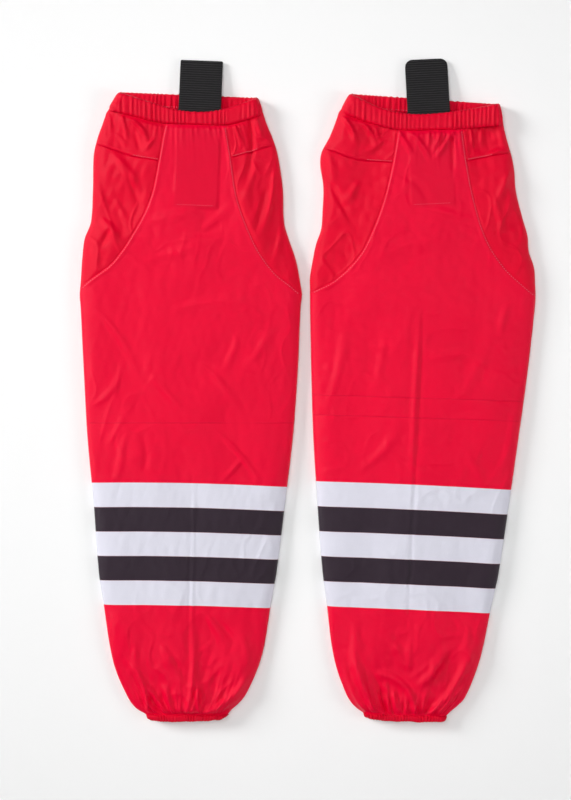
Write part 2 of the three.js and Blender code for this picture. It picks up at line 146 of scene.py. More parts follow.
RIGHT = {
    "name": "right",
    "sides": ("inner", "outer"),
    "lean": -1.84,
    "fold": (5, 733.1),
    "strap_turn": 4.4,
    "tab_corner": 9,
    "outline": [
        (2, -48.5, 48.5), (8.6, -50.5, 50.5), (14, -58, 55), (20, -64.5, 62), (30, -71, 71), (60, -83.5, 83),
        (90, -91, 91), (140, -98.5, 99.5), (180, -105, 107), (260, -113.5, 116.5),
        (340, -121, 125.5), (420, -126, 134), (500, -130, 140.5), (515, -130.5, 141), (530, -131, 140),
        (550, -128.5, 138), (570, -125, 131), (588, -119.5, 129), (610, -118.5, 122), (640, -118.5, 113.5),
        (665, -123, 110.5), (680, -122, 107.5), (700, -112.5, 101), (718, -106, 96), (734, -101, 93),
    ],
    "hem_foot": [(-50, 5), (-42, 2.4), (-15, 0.6), (20, 0.8), (40, 1.2), (50, 3)],
    "band_foot": [(-101, 727.5), (-66, 716), (-33, 709), (8, 710), (50, 713), (95, 718)],
    "mouth": [(-91, 752), (-58, 737), (-33, 730.5), (-5, 729), (31, 733), (67, 740), (90, 745.5)],
    "band_corners": [(-101, 95), (-91, 90.5)],
    "back_top": [(-91, 752.5), (90.5, 745.6)],
    "seams": [
        [(511, -130.5), (526, -103), (553, -76), (579, -61.5), (624, -46), (670, -36.5), (718, -30)],
        [(516, 141), (529, 124), (548, 102.5), (581, 79.5), (628, 63), (675, 52), (718, 45)],
    ],
    "yokes": [
        [(-124, 685), (-116, 684), (-84, 673), (-38, 670)],
        [(53, 675), (78, 681), (104, 687), (110, 689)],
    ],
    "stripe_top": 285.2,
    "stripe_pitch": 29.9,
    "stripe_slope": -0.012,
    "stripe_arch": 0.0001,
    "fold_lines": [365, 389],
    "seed": 23,
}

# Each crease: where it starts (x, y), its heading in degrees, its length, how far it bows to its left, its
# width and its height. One that starts at a seam or at gathered elastic is full height from its first end.
LEFT["creases"] = {
    "from seams": [
        # yokes, down from the waistband
        (-80, 725, -78, 28, 0, 2.6, 1.5), (-66, 720, -62, 34, 4, 2.8, 1.9), (-96, 728, -84, 24, 0, 2.4, 0.9),
        (72, 720, -95, 75, 5, 4, -1.5), (80, 724, -72, 26, 0, 3.5, 1.6), (55, 714, -70, 26, 0, 2.6, 1.4),
        # ankle, up from the hem
        (-50, 12, 112, 70, -7, 4, 1.9), (-28, 12, 126, 50, 0, 4, 2.0), (-20, 12, 108, 38, 0, 3.2, 1.8),
        (-3, 12, 85, 95, -3, 3.6, 1.7), (12, 11, 95, 50, 0, 3, 1.8), (20, 11, 42, 78, -6, 5, 2.5),
        (29, 10, 36, 62, -3, 3.8, 1.8), (-40, 12, 120, 32, 2, 3, 1.2), (2, 12, 70, 40, 0, 3, 1.3),
    ],
    "in the cloth": [
        (-66, 708, -72, 28, 0, 3.5, -1.5), (-42, 700, -125, 20, 0, 3, 1.5), (-88, 705, -60, 22, 3, 3, 1.0),
        # gussets
        (-92, 682, -58, 52, 3, 6, 2.4), (-76, 664, -70, 54, 0, 4, -1.6), (-106, 605, -58, 42, 3, 5, 2.2),
        (-94, 592, -120, 28, 0, 4, -1.5), (-112, 650, -75, 40, 0, 5, 1.2), (-90, 630, -64, 40, 0, 4, 1.0),
        (102, 664, -102, 86, 4, 3.6, 2.0), (80, 668, -108, 52, 0, 4.5, 1.5), (92, 640, -104, 60, 0, 3, -1.2),
        (112, 600, -100, 50, 0, 4, 1.2),
        # below the strap's anchor
        (16, 590, 40, 50, 0, 6, 1.1), (-48, 600, 8, 70, 3, 8, 1.0), (-65, 550, 18, 135, -3, 7, 0.8),
        (-30, 575, 4, 80, 2, 5, 0.7),
        # knee and shin
        (-112, 495, -60, 105, 8, 5, 1.1), (-50, 426, -48, 82, -4, 5, 1.0), (-120, 378, 50, 62, -8, 4.5, 1.0),
        (12, 430, -50, 75, 5, 4.5, 1.0), (34, 348, -50, 80, 3, 3, 1.4), (40, 290, 48, 42, 0, 3, 1.0),
        (-76, 346, -103, 58, 0, 4.5, 1.0), (-56, 346, -90, 60, 4, 4.5, -1.0), (-24, 494, 5, 110, 5, 7, 0.8),
        (68, 426, 60, 65, -4, 5.5, 0.9), (-98, 330, 62, 50, 0, 4, 0.8), (60, 470, -115, 70, 4, 5, 0.8),
        # ankle
        (20, 130, -66, 50, 4, 5, 1.6), (36, 122, -55, 36, 0, 4, -1.3), (-38, 98, -75, 44, 6, 6, 1.6),
        (-66, 96, -86, 46, 0, 5, 1.2), (60, 110, -80, 50, 4, 5, 1.2), (-20, 80, -60, 36, 0, 4, -1.2),
    ],
    # soft lines down the middle, left by packing
    "packed": [(3, 290, -91, 250, 0, 2.2, -0.6), (6, 300, -91, 245, 0, 2.5, 0.6)],
}
RIGHT["creases"] = {
    "from seams": [
        (-98, 722, -62, 40, 3, 3.2, 1.6), (-76, 718, -58, 38, 3, 3.2, 1.8), (-60, 714, -70, 24, 0, 2.4, 1.1),
        (88, 720, -66, 28, 0, 4, 1.5), (68, 716, -86, 28, 0, 3.6, 1.4), (56, 712, -80, 20, 0, 2.4, 1.0),
        # a star of short creases over the top of the strap's anchor
        (-18, 707, -52, 44, 3, 3, 2.0), (20, 707, -112, 26, 0, 2.8, 1.9), (33, 706, -122, 38, 0, 3, 2.1),
        (-30, 706, -56, 36, 0, 3, 1.6), (6, 707, -92, 22, 0, 2.4, 1.1), (33, 704, -86, 46, 0, 3, -1.6),
        # ankle, up from the hem
        (-37, 12, 110, 92, 4, 6, 2.5), (-24, 12, 108, 66, 0, 4, -1.7), (12, 12, 138, 68, -14, 5, 2.2),
        (30, 12, 62, 96, -9, 5, 2.3), (39, 11, 50, 56, 0, 4, 1.8), (-48, 11, 116, 68, 5, 4, 1.7),
        (-9, 12, 106, 30, 0, 3, 1.7), (20, 12, 84, 34, 0, 3, 1.4), (1, 12, 95, 24, 0, 2.6, 1.2),
    ],
    "in the cloth": [
        (-46, 700, -148, 38, 4, 4, 1.4), (76, 682, 24, 24, 0, 4, 1.3),
        # gussets
        (-120, 692, -78, 54, 3, 6, 2.2), (-116, 652, -64, 72, 3, 5, -1.8), (-76, 646, -120, 34, 0, 5, 1.5),
        (-104, 625, -62, 50, 0, 4, 1.2), (108, 672, -112, 60, 0, 5, 1.5), (116, 632, -88, 60, 7, 4.5, 1.8),
        (84, 640, -74, 60, 0, 4, 1.0),
        # round the strap's anchor
        (-32, 658, -50, 66, 12, 5.5, -1.3), (-5, 618, -12, 80, 0, 5, 1.0), (-50, 560, 12, 110, 4, 8, 0.8),
        # knee and shin
        (1, 494, -91, 205, 0, 4, 1.5), (-106, 375, 80, 108, -5, 6, 1.0), (-72, 296, 50, 92, -8, 6, 1.0),
        (46, 380, 66, 105, -5, 8, 1.0), (105, 302, 78, 94, -3, 6, 1.0), (12, 435, 6, 68, 4, 7, 0.9),
        (-68, 448, -3, 66, 3, 8, 0.9), (100, 466, 76, 42, 4, 5, 1.0), (-40, 470, -100, 90, 4, 6, 0.8),
        (60, 330, -62, 60, 3, 5, 0.8), (-30, 330, -35, 60, 0, 5, 0.8),
        # ankle
        (11, 42, 58, 66, -7, 7, 2.6), (32, 48, 58, 48, 0, 5, -1.6), (1, 96, -90, 34, 0, 5, 1.4),
        (-66, 120, -80, 50, 0, 6, 1.3), (70, 120, -100, 40, 4, 5, 1.2), (-20, 100, -70, 40, 3, 6, 1.2),
    ],
    "packed": [(6, 500, -91, 480, 0, 2.5, -0.8)],
}
CREASE_DEPTH = 1.6  # all creases together


def smooth(rows):
    """A smooth line through rows of (place, value)."""
    at, value = (np.array(column, float) for column in zip(*rows))
    slope = np.empty_like(value)
    slope[1:-1] = (value[2:] - value[:-2]) / (at[2:] - at[:-2])
    slope[0] = (value[1] - value[0]) / (at[1] - at[0])
    slope[-1] = (value[-1] - value[-2]) / (at[-1] - at[-2])

    def line(x):
        x = np.asarray(x, float)
        i = np.clip(np.searchsorted(at, x) - 1, 0, len(at) - 2)
        span = at[i + 1] - at[i]
        t = np.clip((x - at[i]) / span, 0, 1)
        ends = (2 * t**3 - 3 * t**2 + 1) * value[i] + (3 * t**2 - 2 * t**3) * value[i + 1]
        return ends + span * ((t**3 - 2 * t**2 + t) * slope[i] + (t**3 - t**2) * slope[i + 1])

    return line


def step(low, high, x):
    """0 at low, 1 at high, and smooth between."""
    t = np.clip((x - low) / (high - low), 0, 1)
    return t * t * (3 - 2 * t)


def ripples(x, y, seed, waves, longest, shortest, stretch=1.0):
    """A soft random field of about unit size, made of many plane waves. stretch lengthens it along y."""
    draw = np.random.default_rng(seed)
    total = np.zeros(np.shape(x))
    for _ in range(waves):
        length = shortest * (longest / shortest) ** draw.random()
        turn = draw.random() * math.tau
        phase = draw.random() * math.tau
        total += np.sin(math.tau * (x * math.cos(turn) + y * math.sin(turn) / stretch) / length + phase)
    return total / math.sqrt(waves / 2)


def crease_height(x, y, creases):
    """The height of a set of creases at each place: each is a ridge with a shallow dip on both sides."""
    total = np.zeros(np.shape(x))
    for kind, strokes in creases.items():
        for start_x, start_y, heading, length, bow, width, height in strokes:
            cos, sin = math.cos(math.radians(heading)), math.sin(math.radians(heading))
            along = ((x - start_x) * cos + (y - start_y) * sin) / length
            near = (along > -0.4) & (along < 1.4)
            away = (y[near] - start_y) * cos - (x[near] - start_x) * sin
            t = along[near]
            away = away - bow * 4 * t * (1 - t)
            square = (away / (width * (0.75 + 0.5 * np.clip(t, 0, 1)))) ** 2
            first = step(-0.1, 0, t) if kind == "from seams" else step(-0.1, 0.35, t)
            grown = height * (1.3 if kind == "from seams" else 1.0)
            total[near] += grown * (1 - 0.5 * square) * np.exp(-0.8 * square) * first * step(1.1, 0.5, t)
    return CREASE_DEPTH * total


def as_points(*values):
    """Three numbers for each place, as rows."""
    return np.stack(values, axis=-1)


class Side:
    """One long edge of a sock, with the curved seam and the yoke seam beside it."""

    def __init__(self, shape, number, edge):
        self.label = shape["sides"][number]
        self.inwards = 1 if number == 0 else -1
        self.edge = edge
        self.seam = smooth(shape["seams"][number])
        self.yoke = smooth(shape["yokes"][number])
        self.foot_y = shape["seams"][number][0][0]
        self.top_y = shape["seams"][number][-1][0]
        _, rim_y = shape["yokes"][number][0 if number == 0 else -1]
        self.yoke_at_edge = float(self.yoke(edge(rim_y)))
        self.yoke_at_seam = next(y for y in np.arange(640, 700, 0.25) if y > self.yoke(self.seam(y)))

    def from_seam(self, x, y):
        """Distance from the curved seam, positive on the front panel's side."""
        slope = self.seam(y + 0.5) - self.seam(y - 0.5)
        return self.inwards * (x - self.seam(y)) / np.hypot(1, slope)

    def in_order(self, at_edge, at_seam):
        """The left line first, whichever side of the sock this is."""
        return (at_edge, at_seam) if self.inwards == 1 else (at_seam, at_edge)


class Sock:
    """The shape of one sock: its edges, its seam lines and the height of its cloth."""

    def __init__(self, shape):
        self.shape = shape
        self.name = shape["name"]
        edges = [*shape["outline"], (shape["back_top"][0][1], *shape["band_corners"][1])]
        self.left = smooth([(y, a) for y, a, b in edges])
        self.right = smooth([(y, b) for y, a, b in edges])
        self.band_foot = smooth(shape["band_foot"])
        self.hem_foot = smooth(shape["hem_foot"])
        self.mouth = smooth(shape["mouth"])
        (x0, y0), (x1, y1) = shape["back_top"]
        self.back_top = lambda x: y0 + (y1 - y0) * (x - x0) / (x1 - x0)
        self.sides = [Side(shape, number, edge) for number, edge in enumerate((self.left, self.right))]
        self.corner_y = shape["outline"][-1][0]
        self.turn = math.radians(shape["lean"])
        self.strap_turn = math.radians(shape["strap_turn"])
        joint = next(j for j in frame["joints"] if j["name"] == f"{self.name}_strap_fold")
        self.hinge = Vector(joint["pos_m"])
        fold = Vector((*shape["fold"], 0)) * MM
        fold.rotate(Matrix.Rotation(self.turn, 3, "Z"))
        self.origin = self.hinge - fold
        self.top_height = smooth([
            (4, 11.4), (9, 11.8), (16, 13), (40, 14.6), (90, 16), (260, 17.5), (420, 18.2), (600, 17.4),
            (700, 16.6), (760, 16.6),
        ])
        self.side_height = smooth([(4, 6.4), (12, 6), (60, 5), (660, 5), (715, 7.4), (760, 8.4)])
        self.fans = self.gather_fans()

    def place(self, points):
        """Points of this sock, in its own millimetres, as points of the frame in metres."""
        cos, sin = math.cos(self.turn), math.sin(self.turn)
        x, y, z = points[..., 0], points[..., 1], points[..., 2]
        at_x = self.origin.x + (cos * x - sin * y) * MM
        return as_points(at_x, self.origin.y + (sin * x + cos * y) * MM, z * MM)

    def across(self, x, y):
        """-1 at the left edge, 1 at the right edge, and half the width there."""
        left, right = self.left(y), self.right(y)
        half = (right - left) / 2
        return np.clip((x - (left + right) / 2) / half, -1, 1), half

    def gather_fans(self):
        """Folds that run out along the cloth from the hem's and the waistband's elastic: the centre, width,
        height and length of each."""
        draw = np.random.default_rng(self.shape["seed"])

        def fans(count, reach, stray, *ranges):
            centres = np.linspace(-reach, reach, count)
            return [(c + draw.normal(0, stray), *(draw.uniform(*ends) for ends in ranges)) for c in centres]

        hem = fans(30, 0.95, 0.02, (0.016, 0.036), (0.8, 2.4), (14, 56))
        band = fans(32, 0.97, 0.015, (0.012, 0.026), (0.3, 1.3), (8, 34))
        return hem, band

    def gathers(self, x, y):
        """Height of the gather fans."""
        s, _ = self.across(x, y)
        total = np.zeros(np.shape(x))
        for away, fans in zip((y - HEM_TOP, self.band_foot(x) - y), self.fans):
            for centre, width, height, length in fans:
                total += height * np.exp(-(((s - centre) / width) ** 2)) * np.exp(-((away / length) ** 2))
        return total

    def seam_relief(self, x, y):
        """The groove of each curved seam and yoke seam, with the allowance raised beside it."""
        total = np.zeros(np.shape(x))
        for side in self.sides:
            here = step(side.foot_y - 2, side.foot_y + 6, y)
            away = side.from_seam(x, y)
            total += here * (0.55 * np.exp(-(((away - 3) / 2.2) ** 2)) - 0.75 * np.exp(-((away / 1.3) ** 2)))
            outside = step(1.0, -1.0, away) * step(side.foot_y, side.foot_y + 30, y)
            up = y - side.yoke(x)
            total += outside * (0.45 * np.exp(-(((up - 3) / 2.2) ** 2)) - 0.7 * np.exp(-((up / 1.3) ** 2)))
        return total

    def on_gusset(self, x, y):
        """1 on the gussets and yokes, 0 on the printed front."""
        total = np.zeros(np.shape(x))
        for side in self.sides:
            total += step(1, -6, side.from_seam(x, y)) * step(side.foot_y, side.foot_y + 20, y)
        return total

    def fold_line(self, y):
        """Distance, in metres, from the sharp lines where the sock lay folded across."""
        first, *others = self.shape["fold_lines"]
        away = y - first
        for line in others:
            away = away * (y - line) / (line - first)
        return away * MM

    def anchor_place(self, x, y):
        """Place in the strap's own axes: across the webbing, and along it from the fold line."""
        fx, fy = self.shape["fold"]
        dx, dy = x - fx, y - fy
        cos, sin = math.cos(self.strap_turn), math.sin(self.strap_turn)
        return dx * cos + dy * sin, dy * cos - dx * sin

    def strap_point(self, wide, long):
        """The x and y of a place in the strap's own axes."""
        fx, fy = self.shape["fold"]
        cos, sin = math.cos(self.strap_turn), math.sin(self.strap_turn)
        return fx + wide * cos - long * sin, fy + wide * sin + long * cos

    def anchor_cover(self, x, y):
        """1 where the front panel lies over the strap's sewn end, 0 elsewhere."""
        wide, long = self.anchor_place(x, y)
        inside = step(STRAP_WIDTH / 2 + 3, STRAP_WIDTH / 2 - 1.5, np.abs(wide))
        return inside * step(-ANCHOR_LENGTH - 3, -ANCHOR_LENGTH + 1.5, long)

    def relief(self, x, y):
        """All that stands proud of the smooth tube, or lies below it, on the upper layer."""
        s, half = self.across(x, y)
        from_edge = half * (1 - np.abs(s))
        seed = self.shape["seed"]
        cover = self.anchor_cover(x, y)
        calm = 1 - 0.75 * cover
        busy = 1 + 0.9 * step(150, 40, y) + 0.7 * self.on_gusset(x, y)
        broad = 0.8 * busy * ripples(x, y, seed, 26, 150, 55, 1.3)
        sharp = ripples(x, y, seed + 1, 22, 70, 26, 1.6)
        fine = 0.14 * busy * ripples(x, y, seed + 2, 30, 24, 9, 1.4)
        patches = step(-0.4, 0.8, ripples(x, y, seed + 3, 14, 220, 90))
        creased = 0.75 * busy * np.exp(-(np.abs(sharp) / 0.28) ** 1.3) * patches
        folds = crease_height(x, y, self.shape["creases"])
        total = (broad + creased + fine) * calm + folds * (1 - 0.35 * cover) + self.gathers(x, y)
        total += self.seam_relief(x, y) + 0.75 * cover
        return total * step(0, 14, from_edge)

    def top(self, x, y):
        """Height of the upper layer's outer face."""
        s, half = self.across(x, y)
        side, crown = self.side_height(y), self.top_height(y)
        round_over = 0.62 * (crown - side)
        z = side + round_over * np.sqrt(1 - np.abs(s) ** (0.13 * half))
        z = z + (crown - side - round_over) * (1 - s * s) + self.relief(x, y)
        under_band = step(5.5, -0.5, self.band_foot(x) - y)
        z = z + under_band * (np.minimum(z, TOP_IN_BAND) - z)
        in_hem = step(HEM_TOP + 5, HEM_TOP + 0.5, y)
        return z + in_hem * (np.minimum(z, TOP_IN_HEM) - z)

    def on_top(self, x, y, drop=0.0):
        """Points on the upper layer's outer face, or a drop below it."""
        return as_points(x, y, self.top(x, y) - drop)

    def bottom(self, x, y):
        """Height of the lower layer's outer face."""
        s, half = self.across(x, y)
        side = self.side_height(y)
        rim = self.back_top(x) - BAND_HEIGHT
        low = 0.5 + 1.0 * step(14, 8, y) + 1.1 * step(rim - 6, rim, y)
        z = side - (side - low) * np.sqrt(1 - np.abs(s) ** (0.1 * half))
        crush = 0.35 * ripples(x, y, self.shape["seed"] + 7, 20, 90, 30)
        return z + np.abs(crush) * step(4, 24, half * (1 - np.abs(s)))


# ----------------------------------------------------------------------------------------------------
# Mesh work

def grid(columns, rows):
    """A flat grid, and each vertex's share across and along it."""
    bm = bmesh.new()
    bmesh.ops.create_grid(bm, x_segments=columns, y_segments=rows, size=0.5)
    at = np.array([v.co for v in bm.verts], float)
    return bm, at[:, 0] + 0.5, at[:, 1] + 0.5


def finish_piece(name, bm, points, material, attributes=None, weld=False):
    """Moves the bmesh's vertices to their points, in metres, and makes the object."""
    for vert, point in zip(bm.verts, points):
        vert.co = point
    made = bpy.data.meshes.new(name)
    for key, values in (attributes or {}).items():
        values = np.asarray(values, float)
        single = values.ndim == 1
        layer = (bm.verts.layers.float if single else bm.verts.layers.float_vector).new(key)
        for vert, value in zip(bm.verts, values):
            vert[layer] = float(value) if single else Vector(value)
    if weld:
        bmesh.ops.remove_doubles(bm, verts=bm.verts, dist=1e-6)
        bmesh.ops.recalc_face_normals(bm, faces=bm.faces)
    for face in bm.faces:
        face.smooth = True
    bm.to_mesh(made)
    bm.free()
    piece = bpy.data.objects.new(name, made)
    bpy.context.scene.collection.objects.link(piece)
    made.materials.append(material)
    return piece


def give_thickness(piece, thickness=FABRIC):
    """A wall below the modelled face."""
    wall = piece.modifiers.new("cloth", "SOLIDIFY")
    wall.thickness = thickness * MM
    wall.offset = -1
    wall.use_rim = True
    return piece


def to_edges(u, share=0.6):
    """Moves evenly spaced columns towards both edges."""
    t = 2 * u - 1
    return (1 + (1 - share) * t + share * np.sin(math.pi * t / 2)) / 2


def patch(u, v, left, right, foot, top):
    """A surface patch between four edge lines, each of which gives (x, y) from a share along it."""
    (lx, ly), (rx, ry), (fx, fy), (tx, ty) = left(v), right(v), foot(u), top(u)
    (ax, ay), (bx, by) = left(np.zeros(1)), right(np.zeros(1))
    (cx, cy), (dx, dy) = left(np.ones(1)), right(np.ones(1))
    made = []
    for l, r, f, t, a, b, c, d in ((lx, rx, fx, tx, ax, bx, cx, dx), (ly, ry, fy, ty, ay, by, cy, dy)):
        sides = (1 - u) * l + u * r
        ends = (1 - v) * f + v * t
        corners = (1 - u) * (1 - v) * a + u * (1 - v) * b + (1 - u) * v * c + u * v * d
        made.append(sides + ends - corners)
    return made


def print_place(sock, x, y):
    """Where each point lies on the printed cloth: across, then up from the lowest stripe, in metres."""
    shape = sock.shape
    level = shape["stripe_top"] + shape["stripe_slope"] * x - shape["stripe_arch"] * x * x
    return as_points(x * MM, (y - level) * MM, np.full(x.shape, shape["stripe_pitch"] * MM))


def cloth_piece(sock, name, bm, x, y, z, backing, material):
    """A piece of cloth between its points' places on the sock. Gives x and y back too."""
    attributes = {"print_place": print_place(sock, x, y), "backing": backing, "fold_line": sock.fold_line(y)}
    points = sock.place(as_points(x, y, z))
    piece = finish_piece(f"{sock.name}_{name}_cloth", bm, points, material, attributes)
    return give_thickness(piece), x, y


def upper_piece(sock, name, cells, edges, material):
    """A piece of the upper layer, cut between four edge lines."""
    bm, u, v = grid(*cells)
    x, y = patch(to_edges(u), v, *edges)
    return cloth_piece(sock, name, bm, x, y, sock.top(x, y), sock.anchor_cover(x, y), material)


def straight(left, right):
    """The straight foot of a piece, between the starts of its left and right lines."""
    (x0, y0), (x1, y1) = left(np.zeros(1)), right(np.zeros(1))
    return lambda t: (x0 + (x1 - x0) * t, y0 + (y1 - y0) * t)


def along_curve(left, right, share, curve):
    """A piece's foot (share 0) or top (share 1), on a curve between its left and right lines."""
    (x0, _), (x1, _) = left(np.full(1, share)), right(np.full(1, share))

    def line(t):
        x = x0 + (x1 - x0) * t
        return x, curve(x)

    return line


def front_panel(sock, material):
    """The printed front: full width from the hem to the gussets, then between the two curved seams."""
    foot_y = HEM_TOP - TUCK

    def side_line(side):
        end_y = float(sock.band_foot(float(side.seam(side.top_y)))) + TUCK

        def line(t):
            y = foot_y + (end_y - foot_y) * t
            inset = side.inwards * PANEL_INSET * step(HEM_TOP + 3, HEM_TOP, y)
            return np.where(y < side.foot_y, side.edge(y) + inset, side.seam(y)), y

        return line

    left, right = (side_line(side) for side in sock.sides)
    foot = along_curve(left, right, 0.0, lambda x: foot_y + 0 * x)
    top = along_curve(left, right, 1.0, lambda x: sock.band_foot(x) + TUCK)
    return upper_piece(sock, "front_panel", (142, 306), (left, right, foot, top), material)


def gusset(sock, side, material):
    """The curved side piece below the yoke."""
    foot_y = side.foot_y + 0.6

    def at_edge(t):
        y = foot_y + (side.yoke_at_edge - side.foot_y - 0.6) * t
        return side.edge(y), y

    def at_seam(t):
        y = foot_y + (side.yoke_at_seam - side.foot_y - 0.6) * t
        return side.seam(y), y

    left, right = side.in_order(at_edge, at_seam)
    edges = (left, right, straight(left, right), along_curve(left, right, 1.0, side.yoke))
    return upper_piece(sock, f"{side.label}_gusset", (60, 110), edges, material)


def yoke(sock, side, material):
    """The short gathered piece between the gusset and the waistband."""
    def at_edge(t):
        y = side.yoke_at_edge + (sock.corner_y + TUCK - 2 - side.yoke_at_edge) * t
        return side.edge(y) + side.inwards * BAND_INSET * step(sock.corner_y - 6, sock.corner_y - 1, y), y

    top_y = float(sock.band_foot(side.seam(720))) + TUCK

    def at_seam(t):
        y = side.yoke_at_seam + (top_y - side.yoke_at_seam) * t
        return side.seam(y), y

    left, right = side.in_order(at_edge, at_seam)
    foot = along_curve(left, right, 0.0, side.yoke)
    (x2, y2), (x3, y3) = left(np.ones(1)), right(np.ones(1))

    def top(t):
        x = x2 + (x3 - x2) * t
        lift = (y2 - sock.band_foot(x2)) * (1 - t) + (y3 - sock.band_foot(x3)) * t
        return x, sock.band_foot(x) + lift

    return upper_piece(sock, f"{side.label}_yoke", (64, 44), (left, right, foot, top), material)


def back_panel(sock, material):
    """The lower layer, in one piece from the hem to the waistband."""
    bm, u, v = grid(86, 180)
    foot_y, top_y = HEM_TOP - TUCK, sock.corner_y
    y = foot_y + (top_y - foot_y) * v
    share = to_edges(1 - u, 0.75)
    level = sock.left(y) + (sock.right(y) - sock.left(y)) * share
    y = y + v**8 * (sock.back_top(level) - BAND_HEIGHT + TUCK - top_y)
    inset = PANEL_INSET * step(HEM_TOP + 3, HEM_TOP, y) + BAND_INSET * step(top_y - 6, top_y - 1, y)
    left, right = sock.left(y) + inset, sock.right(y) - inset
    x = left + (right - left) * share
    return cloth_piece(sock, "back_panel", bm, x, y, sock.bottom(x, y), 0 * x, material)


def stadium(c, left, right, loft, wall):
    """Round a flattened ring from its left side: the middle line's place, its outward direction and the
    distance gone round. c is 0 to 1 over the front and then back underneath."""
    outer = loft / 2
    radius = outer - wall / 2
    flat = right - left - 2 * outer
    corner = math.pi * radius / 2
    total = 2 * flat + 4 * corner
    arc = c * total
    over = np.clip(arc - corner, 0, flat)
    under = np.clip(arc - 3 * corner - flat, 0, flat)
    turned = (arc - over - under) / radius  # 0 at the left side, a half turn at the right side
    nx, nz = -np.cos(turned), np.sin(turned)
    x = left + outer + over - under + radius * nx
    z = outer + radius * nz
    return x, z, nx, nz, arc


def ruffle(x, nz, u, right, pitch, wander, seed):
    """Upright ruffles round a gathered ring: crests about a pitch apart, which wander a share of it. They run
    on from the front round the right side to the back."""
    share = (1 + nz) / 2
    place = x * share + (2 * right + 12 - x) * (1 - share)
    place = place + wander * pitch * ripples(place, 0 * place, seed, 12, 14 * pitch, 4 * pitch)
    crests = np.sin(math.tau * place / pitch) + 0.35 * np.sin(math.tau * place / (0.61 * pitch) + 1)
    swell = 0.8 + 0.35 * ripples(place, 0 * place, seed + 1, 10, 12 * pitch, 3 * pitch)
    return crests * swell * step(0, 0.012, u) * step(1, 0.988, u)


def band_ring(sock, u, height, out):
    """Points of the waistband: u is 0 to 1 round it, height 0 to 1 up it, and out is away from its middle."""
    shape = sock.shape
    (fl, fr), (tl, tr) = shape["band_corners"]
    left, right = fl + (tl - fl) * height, fr + (tr - fr) * height
    x, z, nx, nz, arc = stadium(u, left, right, BAND_LOFT, BAND_WALL)
    pucker = ruffle(x, nz, u, fr, BAND_RUFFLE, 0.3, shape["seed"] + 4)
    out = out + 0.75 * pucker * (0.65 + 0.35 * np.cos(math.pi * (height - 0.3)))
    front = step(-0.9, 0.9, nz)
    front_y = sock.band_foot(x) + (sock.mouth(x) - sock.band_foot(x)) * height
    back_y = sock.back_top(x) - BAND_HEIGHT * (1 - height)
    y = back_y + (front_y - back_y) * front + 0.4 * pucker * step(0.75, 1, height)
    y = y - 0.35 * pucker * step(0.2, 0, height)
    return as_points(x + out * nx, y, np.maximum(z + out * nz, 0)), arc


def hem_ring(sock, u, height, out):
    """Points of the hem: u is 0 to 1 round it, height 0 to 1 up it, and out is away from its middle."""
    shape = sock.shape
    foot_y = shape["outline"][0][0]
    y_plain = foot_y + (HEM_TOP - foot_y) * height
    x, z, nx, nz, arc = stadium(u, sock.left(y_plain), sock.right(y_plain), HEM_LOFT, HEM_WALL)
    rib = ruffle(x, nz, u, shape["outline"][1][2], HEM_RUFFLE, 0.1, shape["seed"] + 8)
    loose = ripples(x, z, shape["seed"] + 9, 12, 40, 10)
    out = out + 0.7 * rib + 0.2 * loose
    y = sock.hem_foot(x) + (HEM_TOP - sock.hem_foot(x)) * height + 0.35 * loose
    return as_points(x + out * nx, y, np.maximum(z + out * nz, 0)), arc


def turned_edge(cells, wall, leg, fold_share, roll, bulge):
    """The grid of a turned-over edge. v goes up the outer wall, over the fold and down the inner wall. Gives
    the share round the ring, the share of the way from the sewn foot to the fold, and the distance out."""
    bm, u, v = grid(*cells)
    half = wall / 2
    fold = np.clip((v - leg) / (1 - 2 * leg), 0, 1) * math.pi
    gone = np.clip(np.minimum(v, 1 - v) / leg, 0, 1)
    reach = gone * (1 - fold_share) + np.sin(fold) * fold_share
    out = np.cos(fold) * half
    rolled = half - roll * (1 - v / 0.1) ** 2
    out = np.where(v < 0.1, rolled, out) + bulge * np.sin(math.pi * gone) * np.sign(out)
    return bm, u, reach, out


def ring_piece(sock, name, bm, points, arc, height, material, thickness=FABRIC):
    """A closed ring of cloth or elastic, from points that go round it and up it."""
    place = {"print_place": as_points(arc * MM, height * MM, 0 * arc)}
    piece = finish_piece(f"{sock.name}_{name}", bm, sock.place(points), material, place, weld=True)
    return give_thickness(piece, thickness)


def waistband(sock, material):
    """The self-fabric tunnel at the mouth, ruffled by the elastic inside it."""
    bm, u, height, out = turned_edge((430, 30), BAND_WALL, 0.44, BAND_WALL / 2 / BAND_HEIGHT, 2.2, 0.4)
    points, arc = band_ring(sock, u, height, out)
    return ring_piece(sock, "waistband", bm, points, arc, height * BAND_HEIGHT, material)


def cuff_hem(sock, material):
    """The narrow hem at the ankle, gathered tight on its elastic."""
    bm, u, drop, out = turned_edge((340, 22), HEM_WALL, 0.42, 0.18, 1.4, 0.35)
    points, arc = hem_ring(sock, u, 1 - drop, out)
    return ring_piece(sock, "cuff_hem_cloth", bm, points, arc, (1 - drop) * HEM_TOP, material, HEM_FABRIC)


def elastic(sock, name, ring, low, high, thickness, material):
    """The flat elastic inside a gathered ring, between two shares of its height."""
    bm, u, v = grid(260, 6)
    points, arc = ring(sock, u, low + (high - low) * v, thickness / 2)
    return ring_piece(sock, f"{name}_tape", bm, points, arc, v * BAND_HEIGHT, material, thickness)


